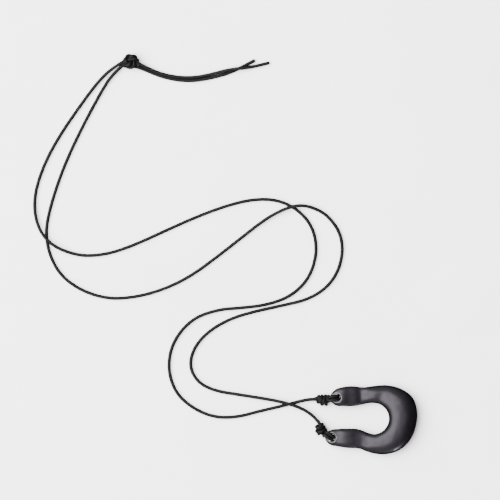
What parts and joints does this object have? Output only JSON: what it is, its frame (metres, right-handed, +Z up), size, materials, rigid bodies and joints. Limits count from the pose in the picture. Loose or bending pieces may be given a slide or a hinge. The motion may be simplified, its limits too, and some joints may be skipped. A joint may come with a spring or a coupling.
{
  "type": "pendant necklace",
  "caption": "Polished black horseshoe pendant hung by its arm tips on a knotted black waxed cord, laid out flat in loose curves.",
  "frame": {"origin": "under the middle of the pendant, on the surface it lies on", "axes": "+X from the pendant's open end to its bend, +Y from its lower arm to its upper arm, +Z up from the surface"},
  "size_m": [0.1924, 0.1999, 0.0093],
  "materials": {
    "black_stone": "polished, very dark, faint purple-grey sheen",
    "eyelet_metal": "satin",
    "waxed_cord": "black, round, braided and waxed, semi-gloss"
  },
  "bodies": {
    "pendant": {"pendant": "black_stone", "upper_eyelet": "eyelet_metal", "lower_eyelet": "eyelet_metal"},
    "cord": {"upper_eye": "waxed_cord", "lower_eye": "waxed_cord", "upper_knot": "waxed_cord", "lower_knot": "waxed_cord", "upper_strand": "waxed_cord", "lower_strand": "waxed_cord", "back_knot": "waxed_cord", "upper_tail": "waxed_cord", "lower_tail": "waxed_cord"}
  },
  "joints": [
    {"name": "pendant_swing", "type": "hinge", "parent": "pendant", "child": "cord", "pos_m": [-0.02117, 0.0016, 0.0035], "axis": [0.1255, 0.9921, 0], "range_deg": [-40, 40]}
  ]
}
